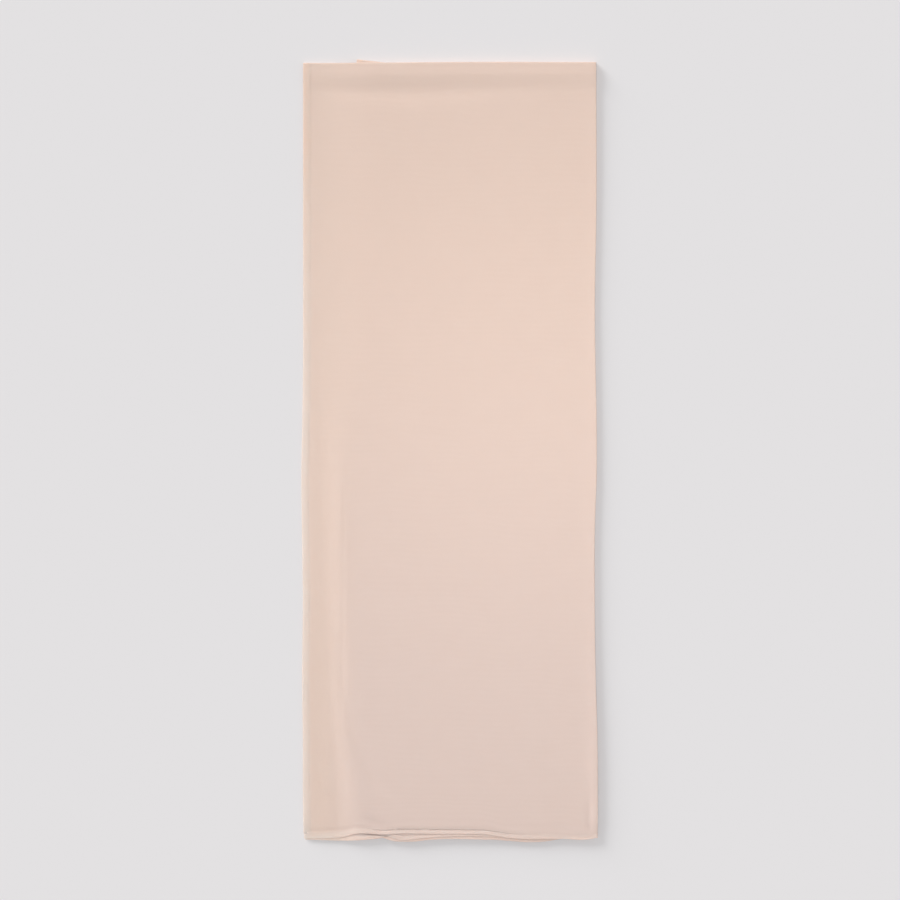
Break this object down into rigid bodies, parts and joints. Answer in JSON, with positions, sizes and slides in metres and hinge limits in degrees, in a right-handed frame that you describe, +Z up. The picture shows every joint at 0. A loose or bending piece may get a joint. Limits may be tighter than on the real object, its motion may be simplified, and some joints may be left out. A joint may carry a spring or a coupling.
{
  "type": "folded georgette scarf",
  "caption": "Sheer hemmed rectangular scarf, folded in half and in half again and laid flat, with a narrower turned-under part, rolled creases and stepped hems at the open end.",
  "frame": {"origin": "middle of the footprint, on the surface that the folded scarf lies on", "axes": "+X across from the open side to the long fold, +Y along it from the open end to the crease, +Z up"},
  "size_m": [0.3798, 1.0044, 0.008],
  "materials": {
    "georgette": "matt crepe, pale powder pink",
    "hem": "matt crepe turned double and stitched, pale powder pink"
  },
  "bodies": {
    "root": {"front_panel": "georgette", "back_panel": "georgette", "folded_inside": "georgette", "front_side_hem": "hem", "inner_side_hem": "hem", "back_side_hem": "hem", "front_end_hem": "hem", "inner_front_end_hem": "hem", "inner_back_end_hem": "hem", "back_end_hem": "hem"}
  },
  "joints": []
}
